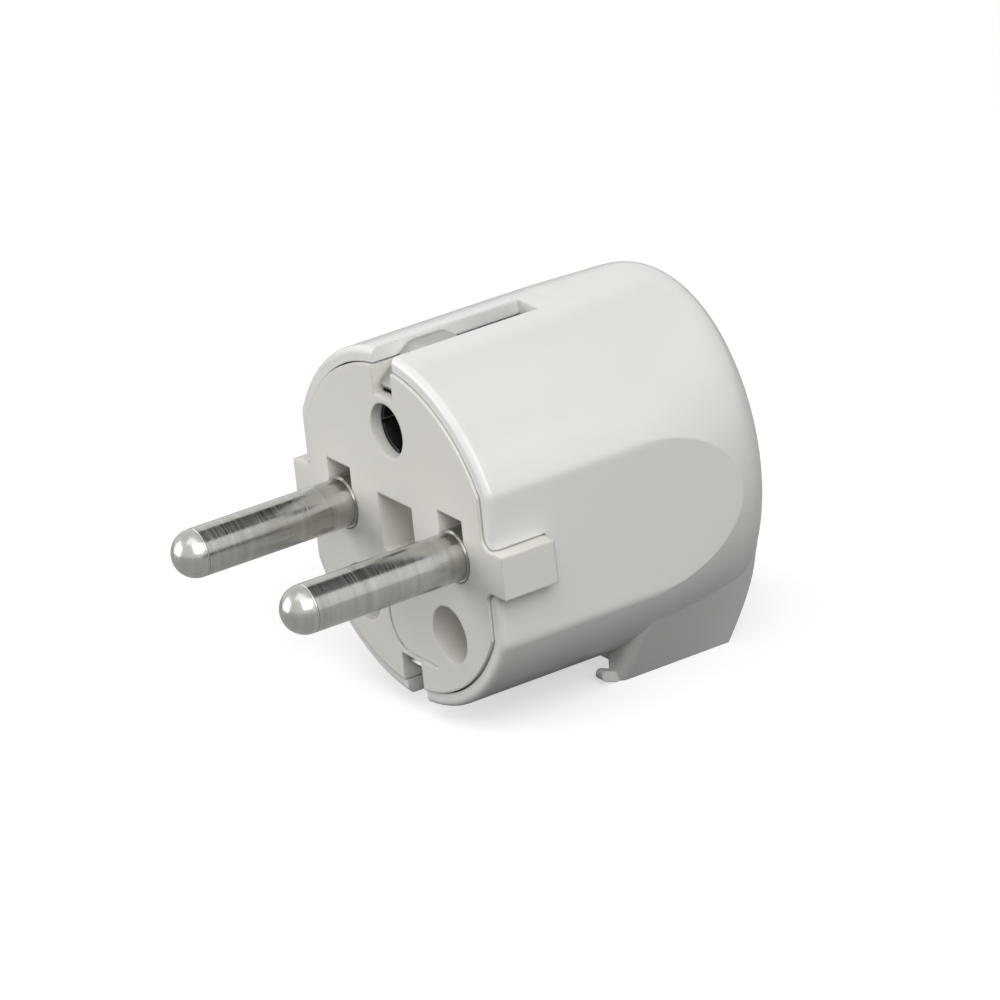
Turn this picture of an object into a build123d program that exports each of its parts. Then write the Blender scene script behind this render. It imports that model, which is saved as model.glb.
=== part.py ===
from build123d import *
from math import acos, asin, atan2, cos, hypot, pi, sin
import os

# Right-angle earthed mains plug, rewirable, seen with its round pins towards -Y.
# +X is to the right of someone facing the pins, +Y is depth into the plug, +Z is up.
# The origin is on the front face, midway between the two pins. Sizes are in millimetres.

# Pins and earth hole, at the places that every socket of this family takes
pin_d = 4.8
pin_spacing = 19.0
pin_reach = 19.0
pin_root_d = 5.2
earth_up = 10.0
earth_pin_d = 4.8

# Shell outside
nose_r = 17.8
flat_depth = 1.7
grip_start = 18.7
grip_narrowing = 0.18
grip_power = 1.6
grip_sections = 6
round_sections = 5
round_turn = 0.97 * pi / 2
shell_back = 33.5
dome_r = 4.0
crease_r = 2.0
rim_round = 0.7
rim_set_back = 0.3
wall = 1.4

# Cord outlet at the rear bottom of the shell
outlet_half_w = 8.5
outlet_sink = 0.15
outlet_sections = 6
outlet_drop = 1.3
outlet_front = 17.4
outlet_recess = 20.0
outlet_lean = 0.4
outlet_back = 30.5
outlet_back_lean = 2.0
outlet_back_rise = 8.5
outlet_join = -12.0
outlet_overlap = 4.0
outlet_corner_r = 1.2
cord_hole_r = 3.8
cord_hole_y = 25.5
outlet_floor_t = 2.0
mouth_round = 0.6
lip_reach = 1.5
lip_t = 1.1
lip_rise = 0.6
lip_side_gap = 0.3

# Slots over the earth clips
slot_half_w = 1.65
slot_back = 17.0
slot_depth = 4.5

# Insert and its face
fit_gap = 0.15
plate_t = 7.0
rail_half_h = 2.15
rail_depth = 6.0
rail_round = 1.2
pin_hole_gap = 0.1
notch_half_w = 2.0
notch_top = 4.1
notch_depth = 3.2
pocket_side = 5.8
pocket_depth = 5.5
earth_hole_r = 2.7
earth_lip_t = 1.2
well_x = 7.4
well_z = -8.7
well_r = 2.85
well_wall = 1.25
well_floor_y = 11.0
well_floor_t = 2.0
face_line_x = -3.0
face_line_z = -13.0
face_line_r = 3.5
face_line_w = 0.3
face_line_depth = 0.15

# Pin shanks, collars and terminal ends
pin_groove = 0.12
collar_d = 7.4
collar_t = 1.7
pin_seat_t = 5.2
terminal_d = 6.0
terminal_end = 16.5
wire_hole_r = 1.4
wire_hole_y = 13.0

# Retaining plate behind the insert
retainer_t = 2.0
retainer_gap = 0.8
retainer_screw_x = 5.2
retainer_screw_z = 6.2

# Screws, given as shank radius, head radius and head height
screw_gap = 0.1
pin_screw = (1.4, 2.2, 1.6)
earth_screw = (1.5, 2.8, 2.0)
small_screw = (1.1, 1.9, 1.3)
housing_screw = (1.5, 2.6, 2.0)
retainer_screw_bite = 4.0
housing_screw_len = 10.0
driver_slot_w = 0.6
driver_slot_depth = 0.6

# Earth strap, sleeve, ring, washer and nut
strap_t = 0.8
strap_half_w = 1.45
clip_toe_y = 0.9
clip_rise_y = 4.6
clip_flat_y = 8.2
clip_toe_rise = 0.65
clip_inset = 0.8
web_rise = 0.9
web_y = 11.9
strap_bend_r = 1.0
eye_r = 5.0
pad_half_w = 3.4
pad_top = 1.6
pad_bottom = -5.4
sleeve_wall = 0.75
sleeve_front = 1.3
sleeve_back = 14.0
sleeve_bore_gap = 0.03
sleeve_slit_w = 0.5
sleeve_flange_r = 4.4
sleeve_flange_t = 0.7
ring_t = 0.6
ring_y = 3.6
ring_h = 2.0
ring_slit_w = 1.2
earth_screw_z = -1.9
washer_r = 3.3
washer_t = 0.9
nut_half_side = 2.75
nut_t = 2.0

# Shell posts, their threaded bushes and the cord clamp
post_r = 3.5
post_gap = 0.2
bush_r = 2.3
bush_len = 7.0
clamp_rise = 4.1
clamp_half_h = 1.7
clamp_half_w = 6.6
clamp_front = 23.2
clamp_t = 1.8
clamp_ridge = 0.8
clamp_screw_x = 5.0
clamp_screw_len = 6.5
clamp_post_r = 1.7
clamp_post_front = 26.4

# Values worked out from the ones above
pin_r = pin_d / 2
pin_root_r = pin_root_d / 2
nose_half_w = nose_r - flat_depth
rail_top = nose_r
outlet_bottom = -(nose_r + outlet_drop)
slot_floor = nose_r - slot_depth
clamp_z = outlet_bottom + clamp_rise
clip_toe_z = slot_floor + clip_toe_rise
clip_top_z = nose_r - clip_inset
web_z = slot_floor + web_rise
pin_x = pin_spacing / 2
inner_r = nose_r - wall
inner_half_w = nose_half_w - wall
insert_r = inner_r - fit_gap
insert_half_w = inner_half_w - fit_gap
web_back = web_y + strap_t / 2
web_front = web_y - strap_t / 2
sleeve_bore_r = earth_pin_d / 2 + sleeve_bore_gap
sleeve_r = sleeve_bore_r + sleeve_wall
ring_r = sleeve_r + ring_t
well_end = well_floor_y + well_floor_t
post_front = well_end + post_gap
collar_back = pin_seat_t + collar_t
retainer_back = plate_t + retainer_t
sides = {"left": -1, "right": 1}


def rod(radius, start, end, x=0.0, z=0.0):
    """A round bar along the depth of the plug, from start to end."""
    return Pos(x, (start + end) / 2, z) * Rot(90, 0, 0) * Cylinder(radius, end - start)


def post(radius, bottom, top, x=0.0, y=0.0):
    """A round bar that stands upright, from bottom to top."""
    return Pos(x, y, (bottom + top) / 2) * Cylinder(radius, top - bottom)


def block(x_range, y_range, z_range):
    """A plain block between two corners."""
    sizes = [high - low for low, high in (x_range, y_range, z_range)]
    middle = [(high + low) / 2 for low, high in (x_range, y_range, z_range)]
    return Pos(*middle) * Box(*sizes)


def slab(outline, start, end):
    """An outline drawn on the front face, made solid from depth start to depth end."""
    return Pos(0, start, 0) * extrude(Plane.XZ * outline, start - end)


def nose_outline(radius, half_w):
    """The round nose with its two side flats."""
    return Circle(radius) & Rectangle(2 * half_w, 2 * radius)


def rail_outline(grow=0.0):
    """The bar that makes both side rails, wider all round by grow."""
    return Rectangle(2 * (rail_top + grow), 2 * (rail_half_h + grow))


def insert_outline(grow=0.0):
    """The insert's edge seen from the front, with a rounded corner at each rail."""
    body = nose_outline(insert_r + grow, insert_half_w + grow)
    outline = body + rail_outline(grow)
    inner_x = insert_half_w + grow
    inner_z = rail_half_h + grow
    corners = [v for v in outline.vertices() if abs(abs(v.X) - inner_x) < 0.01 and abs(abs(v.Y) - inner_z) < 0.01]
    return fillet(corners, rail_round)


def headed_screw(sizes, head_top, shank_end, x=0.0, z=0.0, way=1):
    """A slotted screw along the depth. way is 1 with its head towards the back."""
    shank_r, head_r, head_h = sizes
    head_base = head_top - way * head_h
    head = rod(head_r, min(head_top, head_base), max(head_top, head_base), x, z)
    shank = rod(shank_r, min(head_base, shank_end), max(head_base, shank_end), x, z)
    slot_floor_y = head_top - way * driver_slot_depth
    slot_span = (min(head_top, slot_floor_y), max(head_top, slot_floor_y))
    slot = block((x - head_r, x + head_r), slot_span, (z - driver_slot_w / 2, z + driver_slot_w / 2))
    return head + shank - slot


def body_half_sizes(depth, inset=0.0):
    """Half the body's width and half its height at one depth, narrowed for the grip and rounded at the rear."""
    back = shell_back - inset
    rear_round = dome_r - inset
    turn = asin(max(0.0, depth - back + rear_round) / rear_round)
    half_h = nose_r - inset - rear_round * (1 - cos(turn))
    share = max(0.0, (depth - grip_start) / (back - grip_start))
    return half_h * (1 - grip_narrowing * share ** grip_power), half_h


def body_section(depth, inset=0.0):
    """The body's round outline at one depth."""
    half_w, half_h = body_half_sizes(depth, inset)
    outline = Ellipse(half_w, half_h) if half_w < half_h else Rot(0, 0, 90) * Circle(half_h)
    return Pos(0, depth, 0) * (Plane.XZ * outline)


def domed_body(front, inset=0.0):
    """The body with its side flats, its narrowed grip and its rounded rear, smaller all round by inset."""
    back = shell_back - inset
    rear_round = dome_r - inset
    round_start = back - rear_round
    step = (round_start - grip_start) / grip_sections
    depths = [grip_start + i * step for i in range(grip_sections)]
    depths += [round_start + rear_round * sin(round_turn * i / round_sections) for i in range(round_sections + 1)]
    round_body = rod(nose_r - inset, front, grip_start) + loft([body_section(depth, inset) for depth in depths])
    outline = nose_outline(nose_r - inset, nose_half_w - inset)
    return slab(fillet(outline.vertices(), crease_r), front, back) & round_body


def outlet_section(depth, inset):
    """The outlet's outline at one depth. Its sides run down from the body's round, almost in line with it."""
    half_w, half_h = [half - outlet_sink for half in body_half_sizes(depth, inset)]
    corner_x = outlet_half_w - inset
    across = corner_x / half_w
    down = outlet_bottom / half_h
    touch = atan2(down, across) + acos(1 / hypot(across, down))
    touch_x = half_w * cos(touch)
    touch_z = half_h * sin(touch)
    outline = Polyline(
        (-corner_x, outlet_bottom),
        (corner_x, outlet_bottom),
        (touch_x, touch_z),
        (-touch_x, touch_z),
        close=True,
    )
    return Pos(0, depth, 0) * (Plane.XZ * make_face(outline))


def outlet_block(inset=0.0, floor_t=0.0):
    """The block under the rear that the cord leaves through, smaller all round by inset, above a floor."""
    bottom = outlet_bottom + floor_t
    with_top = outlet_join + outlet_overlap
    front_slope = outlet_lean / (outlet_join - outlet_bottom)
    back_slope = outlet_back_lean / outlet_back_rise
    front = outlet_front + inset + front_slope * floor_t
    back = outlet_back - inset + back_slope * floor_t
    far_back = outlet_back + outlet_back_lean - inset
    profile = Polyline(
        (front, bottom),
        (back, bottom),
        (far_back, outlet_bottom + outlet_back_rise),
        (far_back, with_top),
        (front + front_slope * (with_top - bottom), with_top),
        close=True,
    )
    side_view = extrude(Plane.YZ * make_face(profile), nose_r, both=True)
    step = (far_back - outlet_front) / outlet_sections
    sections = [outlet_section(outlet_front + i * step, inset) for i in range(outlet_sections + 1)]
    solid = side_view & loft(sections)
    front_edges = solid.edges().filter_by(lambda e: e.length > wall and abs(e.center().X) > outlet_half_w - inset
                                          and e.center().Y < front + wall)
    return fillet(front_edges.sort_by(Axis.Y)[:2], max(outlet_corner_r - inset, 0.2))


def outlet_lip(side):
    """The small rounded lip that stands forward at the bottom of one outlet side wall."""
    root = outlet_front + outlet_corner_r
    tip = outlet_front - lip_reach
    profile = Polyline(
        (root, outlet_bottom),
        (outlet_front, outlet_bottom),
        (tip, outlet_bottom + lip_rise),
        (tip, outlet_bottom + lip_rise + lip_t),
        (outlet_front, outlet_bottom + lip_t),
        (root, outlet_bottom + lip_t),
        close=True,
    )
    lip = extrude(Plane.YZ * make_face(profile), wall - lip_side_gap)
    ends = lip.edges().filter_by(Axis.X).sort_by(Axis.Y)[:2]
    lip = fillet(ends, lip_t * 0.45)
    start = outlet_half_w - wall if side > 0 else lip_side_gap - outlet_half_w
    return Pos(start, 0, 0) * lip


def make_shell():
    """The outer shell, moulded in one piece, open at the front and at the cord hole."""
    front = rim_set_back
    outside = domed_body(front)
    rim = outside.faces().sort_by(Axis.Y)[0].edges()
    outside = fillet(rim, rim_round)
    cheek_room = outlet_half_w - wall
    recess = block((-cheek_room, cheek_room), (outlet_front - 1.0, outlet_recess), (outlet_bottom - 1.0, 0.0))
    outside = outside + (outlet_block() - recess)
    inside = domed_body(front - 1.0, wall)
    behind_recess = block((-nose_r, nose_r), (outlet_recess + wall, shell_back), (outlet_bottom, 0.0))
    inside = inside + (outlet_block(wall, outlet_floor_t) & behind_recess)
    shell = outside - inside
    mid_wall = wall / 2
    post_room = domed_body(front, mid_wall)
    post_room = post_room + (outlet_block(mid_wall, outlet_floor_t / 2) & behind_recess)
    for side in sides.values():
        shell = shell + outlet_lip(side)
        housing_post = rod(post_r, post_front, shell_back, side * well_x, well_z)
        clamp_post = rod(clamp_post_r, clamp_post_front, shell_back, side * clamp_screw_x, clamp_z)
        shell = shell + ((housing_post + clamp_post) & post_room)
    for side in sides.values():
        shell = shell - rod(bush_r + fit_gap / 3, post_front - 1.0, post_front + bush_len, side * well_x, well_z)
        shell = shell - rod(housing_screw[0] + screw_gap, post_front, well_floor_y + housing_screw_len + 1.0,
                            side * well_x, well_z)
        clamp_screw_end = clamp_front + clamp_screw_len
        shell = shell - rod(small_screw[0] + screw_gap / 2, clamp_post_front - 1.0, clamp_screw_end + 0.3,
                            side * clamp_screw_x, clamp_z)
    shell = shell - slab(insert_outline(fit_gap), front - 1.0, rail_depth + fit_gap)
    slots = block((-slot_half_w, slot_half_w), (front - 1.0, slot_back), (-nose_r - 1.0, nose_r + 1.0))
    shell = shell - (slots - rod(slot_floor, front - 1.0, slot_back))
    cord_hole = post(cord_hole_r, outlet_bottom - 1.0, outlet_bottom + outlet_floor_t, 0.0, cord_hole_y)
    shell = shell - cord_hole
    mouth = [e for e in shell.edges().filter_by(GeomType.CIRCLE)
             if abs(e.center().Z - outlet_bottom) < 0.01 and abs(e.radius - cord_hole_r) < 0.01]
    return fillet(mouth, mouth_round)


def make_insert():
    """The moulded insert: the face of the plug, its rails and the wells for the housing screws."""
    insert = slab(nose_outline(insert_r, insert_half_w), 0.0, plate_t)
    insert = insert + slab(insert_outline(), 0.0, rail_depth)
    for side in sides.values():
        insert = insert + rod(well_r + well_wall, plate_t - 1.0, well_end, side * well_x, well_z)
    for side in sides.values():
        insert = insert - rod(pin_root_r + pin_hole_gap, -1.0, plate_t, side * pin_x)
        insert = insert - rod(collar_d / 2 + screw_gap, pin_seat_t, plate_t, side * pin_x)
        notch_x = (side * pin_x - notch_half_w, side * pin_x + notch_half_w)
        insert = insert - block(notch_x, (-1.0, notch_depth), (0.0, notch_top))
        insert = insert - rod(well_r, -1.0, well_floor_y, side * well_x, well_z)
        insert = insert - rod(housing_screw[0] + screw_gap, 0.0, well_end, side * well_x, well_z)
        screw_hole_front = plate_t - retainer_screw_bite - 0.3
        insert = insert - rod(small_screw[0] + screw_gap / 2, screw_hole_front, plate_t,
                              side * retainer_screw_x, retainer_screw_z)
    half = pocket_side / 2
    insert = insert - block((-half, half), (-1.0, pocket_depth), (-half, half))
    insert = insert - rod(earth_hole_r, -1.0, plate_t, 0.0, earth_up)
    insert = insert - rod(ring_r + fit_gap, earth_lip_t, plate_t, 0.0, earth_up)
    clip_slots = block((-slot_half_w, slot_half_w), (-1.0, plate_t), (-nose_r, nose_r))
    clip_slots = clip_slots - block((-nose_r, nose_r), (-1.0, plate_t), (-slot_floor, slot_floor))
    insert = insert - clip_slots
    line = FilletPolyline(
        (face_line_x, -pocket_side),
        (face_line_x, face_line_z),
        (slot_half_w + 3.0, face_line_z),
        radius=face_line_r,
    )
    return insert - slab(trace(line, face_line_w), 0.0, face_line_depth)


def make_retainer():
    """The flat plate that holds both pin collars in the insert."""
    plate = slab(nose_outline(insert_r - retainer_gap, insert_half_w - retainer_gap), plate_t, retainer_back)
    for side in sides.values():
        plate = plate - rod(terminal_d / 2 + screw_gap, plate_t, retainer_back, side * pin_x)
        plate = plate - rod(well_r + well_wall + fit_gap, plate_t, retainer_back, side * well_x, well_z)
        plate = plate - rod(small_screw[0] + screw_gap, plate_t, retainer_back,
                            side * retainer_screw_x, retainer_screw_z)
        strap_z = sorted((side * (slot_floor - 0.6), side * nose_r))
        plate = plate - block((-slot_half_w, slot_half_w), (plate_t, retainer_back), strap_z)
    return plate - rod(sleeve_r + fit_gap, plate_t, retainer_back, 0.0, earth_up)


def make_pin(side):
    """A turned pin: round tip, smooth shank, a root in the insert, collar, and an end drilled for the wire."""
    x = side * pin_x
    tip_y = -(pin_reach - pin_r)
    pin = rod(pin_r, tip_y, 0.0, x) + Pos(x, tip_y, 0) * Sphere(pin_r)
    groove = Pos(x, tip_y, 0) * Rot(90, 0, 0) * Torus(pin_r, pin_groove)
    pin = pin - groove
    pin = pin + rod(pin_root_r, 0.0, pin_seat_t, x)
    pin = pin + rod(collar_d / 2, pin_seat_t, collar_back, x)
    pin = pin + rod(terminal_d / 2, collar_back, terminal_end, x)
    pin = pin - post(wire_hole_r, -terminal_d, terminal_d, x, wire_hole_y)
    pin = pin - rod(pin_screw[0] + screw_gap / 2, wire_hole_y, terminal_end, x)
    return pin


def make_pin_screw(side):
    """The screw in the end of a pin, which clamps the wire."""
    head_top = terminal_end + pin_screw[2]
    return headed_screw(pin_screw, head_top, wire_hole_y, side * pin_x)


def make_retainer_screw(side):
    """A screw through the retaining plate into the insert."""
    head_top = retainer_back + small_screw[2]
    tip = plate_t - retainer_screw_bite
    return headed_screw(small_screw, head_top, tip, side * retainer_screw_x, retainer_screw_z)


def make_housing_screw(side):
    """A screw deep in a face well, which holds the shell on."""
    head_top = well_floor_y - housing_screw[2]
    tip = well_floor_y + housing_screw_len
    return headed_screw(housing_screw, head_top, tip, side * well_x, well_z, way=-1)


def make_housing_bush(side):
    """The threaded brass bush in a shell post."""
    x = side * well_x
    bush = rod(bush_r, post_front, post_front + bush_len, x, well_z)
    return bush - rod(housing_screw[0] + screw_gap / 2, post_front, post_front + bush_len, x, well_z)


def make_earth_strap():
    """The earth strap, bent from one strip, with a clip at each end and an eye for the sleeve."""
    upper = [(clip_toe_y, clip_toe_z), (clip_rise_y, clip_top_z), (clip_flat_y, clip_top_z), (web_y, web_z)]
    lower = [(y, -z) for y, z in reversed(upper)]
    path = FilletPolyline(*upper, *lower, radius=strap_bend_r)
    strap = extrude(Plane.YZ * trace(path, strap_t), strap_half_w, both=True)
    strap = strap + rod(eye_r, web_front, web_back, 0.0, earth_up)
    strap = strap + block((-pad_half_w, pad_half_w), (web_front, web_back), (pad_bottom, pad_top))
    strap = strap - rod(sleeve_r + screw_gap / 2, web_front, web_back, 0.0, earth_up)
    return strap - rod(earth_screw[0] + screw_gap, web_front, web_back, 0.0, earth_screw_z)


def make_earth_sleeve():
    """The slit sleeve that takes the socket's earth pin, flanged behind the strap."""
    sleeve = rod(sleeve_r, sleeve_front, sleeve_back, 0.0, earth_up)
    sleeve = sleeve + rod(sleeve_flange_r, web_back, web_back + sleeve_flange_t, 0.0, earth_up)
    sleeve = sleeve - rod(sleeve_bore_r, sleeve_front, sleeve_back, 0.0, earth_up)
    slit_span = (sleeve_front, web_front - strap_t)
    half = sleeve_slit_w / 2
    upright = block((-half, half), slit_span, (earth_up - sleeve_r, earth_up + sleeve_r))
    level = block((-sleeve_r, sleeve_r), slit_span, (earth_up - half, earth_up + half))
    return sleeve - upright - level


def make_sleeve_ring():
    """The open spring ring that closes the sleeve's fingers."""
    ring = rod(ring_r, ring_y, ring_y + ring_h, 0.0, earth_up)
    ring = ring - rod(sleeve_r, ring_y, ring_y + ring_h, 0.0, earth_up)
    gap = block((-ring_slit_w / 2, ring_slit_w / 2), (ring_y, ring_y + ring_h), (earth_up, earth_up + ring_r))
    return ring - gap


def make_earth_screw():
    """The screw of the earth terminal, through the strap into its nut."""
    head_top = web_back + washer_t + earth_screw[2]
    return headed_screw(earth_screw, head_top, web_front - nut_t, 0.0, earth_screw_z)


def make_earth_washer():
    """The washer that presses the earth wire on the strap."""
    washer = rod(washer_r, web_back, web_back + washer_t, 0.0, earth_screw_z)
    return washer - rod(earth_screw[0] + screw_gap, web_back, web_back + washer_t, 0.0, earth_screw_z)


def make_earth_nut():
    """The square nut behind the earth strap."""
    z_range = (earth_screw_z - nut_half_side, earth_screw_z + nut_half_side)
    nut = block((-nut_half_side, nut_half_side), (web_front - nut_t, web_front), z_range)
    return nut - rod(earth_screw[0] + screw_gap / 2, web_front - nut_t, web_front, 0.0, earth_screw_z)


def make_cord_clamp():
    """The bar that presses the cord on the shell's rear wall."""
    back = clamp_front + clamp_t
    z_range = (clamp_z - clamp_half_h, clamp_z + clamp_half_h)
    bar = block((-clamp_half_w, clamp_half_w), (clamp_front, back), z_range)
    ridge_half = clamp_screw_x - small_screw[1]
    bar = bar + block((-ridge_half, ridge_half), (back, back + clamp_ridge), (clamp_z - clamp_half_h / 2, clamp_z))
    for side in sides.values():
        bar = bar - rod(small_screw[0] + screw_gap, clamp_front, back, side * clamp_screw_x, clamp_z)
    return bar


def make_clamp_screw(side):
    """A screw of the cord clamp, into its post in the shell."""
    head_top = clamp_front - small_screw[2]
    tip = clamp_front + clamp_screw_len
    return headed_screw(small_screw, head_top, tip, side * clamp_screw_x, clamp_z, way=-1)


nodes = {
    "shell": make_shell(),
    "insert": make_insert(),
    "pin_retainer": make_retainer(),
    "earth_strap": make_earth_strap(),
    "earth_sleeve": make_earth_sleeve(),
    "sleeve_ring": make_sleeve_ring(),
    "earth_screw": make_earth_screw(),
    "earth_washer": make_earth_washer(),
    "earth_nut": make_earth_nut(),
    "cord_clamp": make_cord_clamp(),
}
for name, side in sides.items():
    nodes["pin_" + name] = make_pin(side)
    nodes["pin_screw_" + name] = make_pin_screw(side)
    nodes["retainer_screw_" + name] = make_retainer_screw(side)
    nodes["housing_screw_" + name] = make_housing_screw(side)
    nodes["housing_bush_" + name] = make_housing_bush(side)
    nodes["clamp_screw_" + name] = make_clamp_screw(side)

os.makedirs("parts", exist_ok=True)
for name, solid in nodes.items():
    export_step(solid, "parts/" + name + ".step")
    print(name, round(solid.volume, 1))
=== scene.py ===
import math

import bpy
from mathutils import Matrix, Vector


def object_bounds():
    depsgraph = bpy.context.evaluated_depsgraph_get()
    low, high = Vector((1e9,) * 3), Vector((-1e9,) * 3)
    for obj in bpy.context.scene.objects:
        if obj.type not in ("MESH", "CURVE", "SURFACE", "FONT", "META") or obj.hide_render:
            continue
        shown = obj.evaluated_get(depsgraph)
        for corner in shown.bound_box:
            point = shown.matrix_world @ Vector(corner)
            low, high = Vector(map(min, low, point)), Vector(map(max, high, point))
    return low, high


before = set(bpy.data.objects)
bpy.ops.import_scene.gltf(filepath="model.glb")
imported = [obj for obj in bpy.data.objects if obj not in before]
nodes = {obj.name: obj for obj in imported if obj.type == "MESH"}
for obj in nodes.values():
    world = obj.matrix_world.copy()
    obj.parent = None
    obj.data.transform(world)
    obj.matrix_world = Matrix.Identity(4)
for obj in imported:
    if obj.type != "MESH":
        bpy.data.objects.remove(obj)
cad_low, cad_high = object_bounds()
millimetre = 0.001
bpy.ops.object.select_all(action="DESELECT")

# The insert: the face of the plug, with its two side rails, the pin notches and the screw wells.
# It is moulded in one piece from a grey-white thermoplastic, and the pins and the earth sleeve
# are pressed in from behind. Its mould was lightly blasted, so the face is satin.
insert_colour = "e3e0da"
insert_shade = "dbd8d1"
insert_roughness = (0.36, 0.48)
insert_edge = 0.3 * millimetre
blasted_grain = 0.25 * millimetre
blasted_height = 0.006 * millimetre
plastic_drift = 14 * millimetre

# A Mix node has several sockets of the same name. These two are its colours.
first_colour = 6
second_colour = 7


def linear(colour):
    """An sRGB hex colour as the linear colour that a shader takes."""
    shares = [int(colour[i:i + 2], 16) / 255 for i in (0, 2, 4)]
    return [s / 12.92 if s <= 0.04045 else ((s + 0.055) / 1.055) ** 2.4 for s in shares] + [1.0]


def add_node(tree, kind, settings=None, inputs=None):
    """Adds one node, with its settings, and with a value or a link for each input."""
    node = tree.nodes.new(kind)
    for name, value in (settings or {}).items():
        setattr(node, name, value)
    for place, value in (inputs or {}).items():
        if isinstance(value, bpy.types.NodeSocket):
            tree.links.new(value, node.inputs[place])
        else:
            node.inputs[place].default_value = value
    return node


def new_material(name):
    """An empty material, with its node tree and the socket that its shader goes to."""
    material = bpy.data.materials.new(name)
    material.use_nodes = True
    material.node_tree.nodes.clear()
    output = add_node(material.node_tree, "ShaderNodeOutputMaterial")
    return material, material.node_tree, output.inputs["Surface"]


def moulded_plastic(name, colour, shade, roughness, grain, height, edge, scatter):
    """A moulded plastic: its tone drifts over centimetres, and its skin has the mould's grain."""
    material, tree, surface = new_material(name)
    place = add_node(tree, "ShaderNodeTexCoord").outputs["Object"]
    drift = add_node(tree, "ShaderNodeTexNoise", {}, {
        "Vector": place, "Scale": 1 / plastic_drift, "Detail": 3.0, "Roughness": 0.55})
    tone = add_node(tree, "ShaderNodeMix", {"data_type": "RGBA"}, {
        "Factor": drift.outputs["Fac"],
        first_colour: linear(colour), second_colour: linear(shade)})
    skin = add_node(tree, "ShaderNodeTexNoise", {}, {
        "Vector": place, "Scale": 1 / grain, "Detail": 2.0, "Roughness": 0.6})
    sheen = add_node(tree, "ShaderNodeMapRange", {}, {
        "Value": drift.outputs["Fac"], "From Min": 0.3, "From Max": 0.7,
        "To Min": roughness[0], "To Max": roughness[1]})
    soft_edge = add_node(tree, "ShaderNodeBevel", {"samples": 4}, {"Radius": edge})
    relief = add_node(tree, "ShaderNodeBump", {}, {
        "Height": skin.outputs["Fac"], "Distance": height, "Strength": 1.0,
        "Normal": soft_edge.outputs["Normal"]})
    shader = add_node(tree, "ShaderNodeBsdfPrincipled", {}, {
        "Base Color": tone.outputs[2], "Roughness": sheen.outputs["Result"], "IOR": 1.5,
        "Subsurface Weight": scatter, "Subsurface Radius": (1.0, 0.9, 0.75),
        "Subsurface Scale": 0.5 * millimetre, "Normal": relief.outputs["Normal"]})
    tree.links.new(shader.outputs["BSDF"], surface)
    return material


def give(material, *names):
    """Gives one finish to the named nodes."""
    for name in names:
        piece = nodes[name]
        if not piece.material_slots:
            piece.data.materials.append(material)
        for place in piece.material_slots:
            place.material = material


insert_plastic = moulded_plastic(
    "satin_insert_plastic", insert_colour, insert_shade, insert_roughness,
    blasted_grain, blasted_height, insert_edge, scatter=0.1)
give(insert_plastic, "insert")

# The two pins: brass bar, turned on a lathe and nickel plated. The tool leaves fine rings round
# the shank, a little uneven in depth and shine, and the dome at the tip is set off by a groove.
# Real rings are about 0.08 mm apart. They are drawn over twice as coarse, so that they show.
pin_colour = "cbcac5"
pin_shade = "9b9a95"
ring_pitch = 0.18 * millimetre
ring_height = 0.0088 * millimetre
pin_roughness = (0.16, 0.28)

# Noise that is squeezed this way changes quickly along Y and hardly at all round the bar.
along_the_bar = (0.015, 1.0, 0.015)


def turned_metal(name, colour, shade, roughness, pitch, height):
    """A turned and plated bar: rings across its length, each with its own depth and shine."""
    material, tree, surface = new_material(name)
    place = add_node(tree, "ShaderNodeTexCoord").outputs["Object"]
    along = add_node(tree, "ShaderNodeMapping", {}, {
        "Vector": place, "Scale": along_the_bar})
    rings = add_node(tree, "ShaderNodeTexNoise", {}, {
        "Vector": along.outputs["Vector"], "Scale": 1 / pitch, "Detail": 4.0, "Roughness": 0.7})
    streaks = add_node(tree, "ShaderNodeTexNoise", {}, {
        "Vector": along.outputs["Vector"], "Scale": 0.22 / pitch, "Detail": 2.0, "Roughness": 0.5})
    tone = add_node(tree, "ShaderNodeMix", {"data_type": "RGBA"}, {
        "Factor": streaks.outputs["Fac"],
        first_colour: linear(colour), second_colour: linear(shade)})
    polish = add_node(tree, "ShaderNodeMapRange", {}, {
        "Value": rings.outputs["Fac"], "From Min": 0.35, "From Max": 0.65,
        "To Min": roughness[0], "To Max": roughness[1]})
    relief = add_node(tree, "ShaderNodeBump", {}, {
        "Height": rings.outputs["Fac"], "Distance": height, "Strength": 1.0})
    shader = add_node(tree, "ShaderNodeBsdfPrincipled", {}, {
        "Base Color": tone.outputs[2], "Roughness": polish.outputs["Result"], "Metallic": 1.0,
        "Normal": relief.outputs["Normal"]})
    tree.links.new(shader.outputs["BSDF"], surface)
    return material


pin_nickel = turned_metal(
    "turned_nickel", pin_colour, pin_shade, pin_roughness, ring_pitch, ring_height)
give(pin_nickel, "pin_left", "pin_right")

# The retaining plate, which holds the pin collars in the insert, and the cord clamp. Both are
# moulded in a duller grey nylon and screwed down.
nylon_colour = "cfcdc6"
nylon_shade = "c5c3bc"
nylon_roughness = (0.42, 0.55)
nylon_edge = 0.12 * millimetre
nylon_grain = 0.3 * millimetre
nylon_height = 0.008 * millimetre
nylon = moulded_plastic(
    "grey_nylon", nylon_colour, nylon_shade, nylon_roughness,
    nylon_grain, nylon_height, nylon_edge, scatter=0.15)
give(nylon, "pin_retainer", "cord_clamp")

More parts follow.
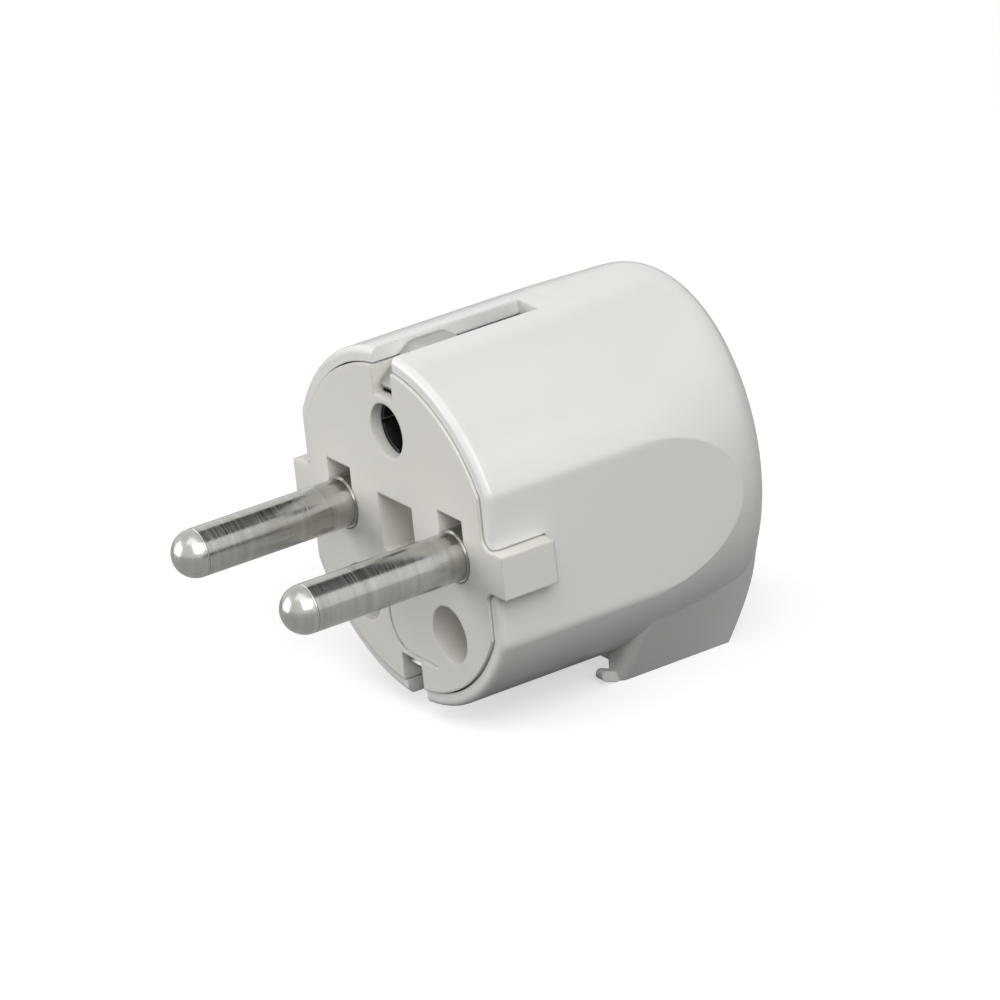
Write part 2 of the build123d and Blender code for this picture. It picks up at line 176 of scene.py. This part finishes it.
# All the screws, the washer, the nut and the spring ring: steel, turned or pressed and zinc
# plated, which leaves a slightly blue, cloudy shine.
zinc_colour = "c2c5c9"
zinc_shade = "9fa2a6"
zinc_roughness = (0.28, 0.5)
zinc_pitch = 0.4 * millimetre
zinc_height = 0.006 * millimetre
zinc_steel = turned_metal(
    "zinc_plated_steel", zinc_colour, zinc_shade, zinc_roughness, zinc_pitch, zinc_height)
give(zinc_steel, "earth_screw", "earth_washer", "earth_nut", "sleeve_ring")
for side in ("left", "right"):
    give(zinc_steel, "retainer_screw_" + side, "pin_screw_" + side,
         "housing_screw_" + side, "clamp_screw_" + side)

# The earth strap: nickel-plated spring bronze. It is cut and bent from rolled strip, whose rolling
# marks run along it, and it is held by the flange of the sleeve.
strap_colour = "c4c4c0"
strap_shade = "a4a4a0"
strap_roughness = (0.38, 0.52)
rolling_pitch = 0.2 * millimetre
rolling_height = 0.005 * millimetre
cloud_size = 2.5 * millimetre

# Noise that is squeezed this way draws marks that run up the strip.
up_the_strip = (1.0, 0.05, 0.05)


def rolled_strip(name, colour, shade, roughness, pitch, height):
    """A rolled and plated strip, with long fine marks up its length."""
    material, tree, surface = new_material(name)
    place = add_node(tree, "ShaderNodeTexCoord").outputs["Object"]
    along = add_node(tree, "ShaderNodeMapping", {}, {
        "Vector": place, "Scale": up_the_strip})
    marks = add_node(tree, "ShaderNodeTexNoise", {}, {
        "Vector": along.outputs["Vector"], "Scale": 1 / pitch, "Detail": 3.0, "Roughness": 0.65})
    clouds = add_node(tree, "ShaderNodeTexNoise", {}, {
        "Vector": place, "Scale": 1 / cloud_size, "Detail": 2.0})
    tone = add_node(tree, "ShaderNodeMix", {"data_type": "RGBA"}, {
        "Factor": clouds.outputs["Fac"],
        first_colour: linear(colour), second_colour: linear(shade)})
    polish = add_node(tree, "ShaderNodeMapRange", {}, {
        "Value": marks.outputs["Fac"], "From Min": 0.35, "From Max": 0.65,
        "To Min": roughness[0], "To Max": roughness[1]})
    relief = add_node(tree, "ShaderNodeBump", {}, {
        "Height": marks.outputs["Fac"], "Distance": height, "Strength": 1.0})
    shader = add_node(tree, "ShaderNodeBsdfPrincipled", {}, {
        "Base Color": tone.outputs[2], "Roughness": polish.outputs["Result"], "Metallic": 1.0,
        "Normal": relief.outputs["Normal"]})
    tree.links.new(shader.outputs["BSDF"], surface)
    return material


strap_nickel = rolled_strip(
    "rolled_nickel_strip", strap_colour, strap_shade, strap_roughness,
    rolling_pitch, rolling_height)
give(strap_nickel, "earth_strap")

# The earth sleeve: made of the same bronze, but only tinned, so it has gone dull and grey. It is
# slit so that it springs, and its flange sits behind the strap.
sleeve_colour = "8a8986"
sleeve_shade = "676663"
sleeve_roughness = (0.3, 0.42)
dull_tin = rolled_strip(
    "dull_tinned_bronze", sleeve_colour, sleeve_shade, sleeve_roughness,
    rolling_pitch, rolling_height)
give(dull_tin, "earth_sleeve")

# The shell and its two threaded bushes. The shell is one glossy moulding in the same grey-white
# plastic, from a polished mould, so only a faint orange peel breaks its shine. The bushes are
# turned brass, pressed into its posts.
shell_colour = "e6e5e2"
shell_shade = "e0dfdb"
shell_roughness = (0.17, 0.25)
shell_edge = 0.25 * millimetre
peel_grain = 1.6 * millimetre
peel_height = 0.004 * millimetre
shell_plastic = moulded_plastic(
    "glossy_shell_plastic", shell_colour, shell_shade, shell_roughness,
    peel_grain, peel_height, shell_edge, scatter=0.1)
give(shell_plastic, "shell")

brass_colour = "d1a95e"
brass_shade = "b58c45"
brass_roughness = (0.2, 0.38)
brass_pitch = 0.25 * millimetre
brass_height = 0.008 * millimetre
bush_brass = turned_metal(
    "turned_brass", brass_colour, brass_shade, brass_roughness, brass_pitch, brass_height)
give(bush_brass, "housing_bush_left", "housing_bush_right")

# The floor: a wide sheet of paper that the plug stands on. It looks white and glows a little for
# the camera, so that the plug's shadow on it stays faint, but it lights the plug only as a grey
# card would, so that the underside stays dark.
floor_half = 1.5
floor_white = "c4c4c3"
floor_grey = "4e4e4c"
floor_lift = 0.58
bpy.ops.mesh.primitive_plane_add(size=2 * floor_half, location=(0, 0, cad_low.z))
floor = bpy.context.object
floor.name = "floor"
bpy.ops.object.transform_apply(location=True, rotation=True, scale=True)


def seen_directly(tree):
    """A socket that is 1 for the rays that show a surface, and 0 for those that only light it."""
    rays = add_node(tree, "ShaderNodeLightPath").outputs
    first = add_node(tree, "ShaderNodeMath", {"operation": "MAXIMUM"}, {
        0: rays["Is Camera Ray"], 1: rays["Is Glossy Ray"]})
    second = add_node(tree, "ShaderNodeMath", {"operation": "MAXIMUM"}, {
        0: first.outputs[0], 1: rays["Is Transmission Ray"]})
    return second.outputs[0]


paper, tree, surface = new_material("white_paper")
paper_tone = add_node(tree, "ShaderNodeMix", {"data_type": "RGBA"}, {
    "Factor": seen_directly(tree),
    first_colour: linear(floor_grey), second_colour: linear(floor_white)})
matt = add_node(tree, "ShaderNodeBsdfDiffuse", {}, {"Color": paper_tone.outputs[2]})
rays = add_node(tree, "ShaderNodeLightPath").outputs
lift = add_node(tree, "ShaderNodeMath", {"operation": "MULTIPLY"}, {
    0: rays["Is Camera Ray"], 1: floor_lift})
glow = add_node(tree, "ShaderNodeEmission", {}, {"Strength": lift.outputs[0]})
both = add_node(tree, "ShaderNodeAddShader", {}, {0: matt.outputs[0], 1: glow.outputs[0]})
tree.links.new(both.outputs[0], surface)
floor.data.materials.append(paper)

# The light: a white room, and three soft lamps. A weak one stands overhead, one shines on the
# pins and the face, and the strongest lights the right flat and the top.
room_level = 0.42
room_white = (1, 1, 1, 1)
world = bpy.data.worlds.new("room")
bpy.context.scene.world = world
world.use_nodes = True
tree = world.node_tree
tree.nodes.clear()
room = add_node(tree, "ShaderNodeBackground", {}, {"Color": room_white, "Strength": room_level})
backdrop = add_node(tree, "ShaderNodeBackground", {}, {"Color": room_white, "Strength": 1.0})
blend = add_node(tree, "ShaderNodeMixShader", {}, {
    "Fac": seen_directly(tree), 1: room.outputs[0], 2: backdrop.outputs[0]})
add_node(tree, "ShaderNodeOutputWorld", {}, {"Surface": blend.outputs[0]})

plug_middle = Vector((0, 8, 0)) * millimetre


def soft_lamp(name, direction, distance, width, height, power):
    """A large flat lamp that faces the plug, in metres and watts."""
    light = bpy.data.lights.new(name, "AREA")
    light.shape = "RECTANGLE"
    light.size = width
    light.size_y = height
    light.energy = power
    lamp = bpy.data.objects.new(name, light)
    bpy.context.scene.collection.objects.link(lamp)
    back = Vector(direction).normalized()
    lamp.location = plug_middle + back * distance
    lamp.rotation_euler = back.to_track_quat("Z", "Y").to_euler()


soft_lamp("overhead_lamp", (0.1, -0.3, 0.95), distance=0.5, width=0.36, height=0.3, power=0.35)
soft_lamp("pin_side_lamp", (-0.6, -0.8, 0.25), distance=0.6, width=0.4, height=0.4, power=1.9)
soft_lamp("right_side_lamp", (0.9, -0.25, 0.8), distance=0.6, width=0.45, height=0.45, power=2.45)

# A dark bar over the back, out of view. It is a board covered in black felt, and it leaves the
# long dark streak along the bright pins.
bar_length = 400 * millimetre
bar_width = 130 * millimetre
bar_distance = 350 * millimetre
bar_direction = Vector((0.0, 0.52, 0.85)).normalized()
bar_black = "1c1c1c"
bpy.ops.mesh.primitive_plane_add(size=1.0, location=(0, 0, 0))
bar = bpy.context.object
bar.name = "dark_bar"
bar.data.transform(Matrix.Diagonal((bar_length, bar_width, 1.0, 1.0)))
bar.data.transform(bar_direction.to_track_quat("Z", "Y").to_matrix().to_4x4())
bar.data.transform(Matrix.Translation(bar_direction * bar_distance))
bar.visible_camera = False
felt, tree, surface = new_material("black_felt")
matt = add_node(tree, "ShaderNodeBsdfDiffuse", {}, {"Color": linear(bar_black)})
tree.links.new(matt.outputs[0], surface)
bar.data.materials.append(felt)

# The camera: the photograph's own angle, on a long lens. The roll is the plug's own lean there.
view_azimuth = math.radians(58.0)
view_elevation = math.radians(22.4)
view_roll = math.radians(-6.0)
view_distance = 703.8 * millimetre
view_aim = Vector((1.63, 10.65, 0.06)) * millimetre
lens = 267.3
back = Vector((
    math.sin(view_azimuth) * math.cos(view_elevation),
    -math.cos(view_azimuth) * math.cos(view_elevation),
    math.sin(view_elevation)))
level = Vector((math.cos(view_azimuth), math.sin(view_azimuth), 0))
upright = back.cross(level)
right = level * math.cos(view_roll) + upright * math.sin(view_roll)
up = back.cross(right)
camera_data = bpy.data.cameras.new("camera")
camera_data.sensor_width = 36.0
camera_data.lens = lens
camera_data.clip_start = 0.05
camera_data.clip_end = 10.0
camera = bpy.data.objects.new("camera", camera_data)
bpy.context.scene.collection.objects.link(camera)
camera.matrix_world = Matrix((
    (right.x, up.x, back.x, 0),
    (right.y, up.y, back.y, 0),
    (right.z, up.z, back.z, 0),
    (0, 0, 0, 1)))
camera.location = view_aim + back * view_distance
bpy.context.scene.camera = camera
bpy.context.scene.view_settings.view_transform = "Standard"

bpy.context.view_layer.update()
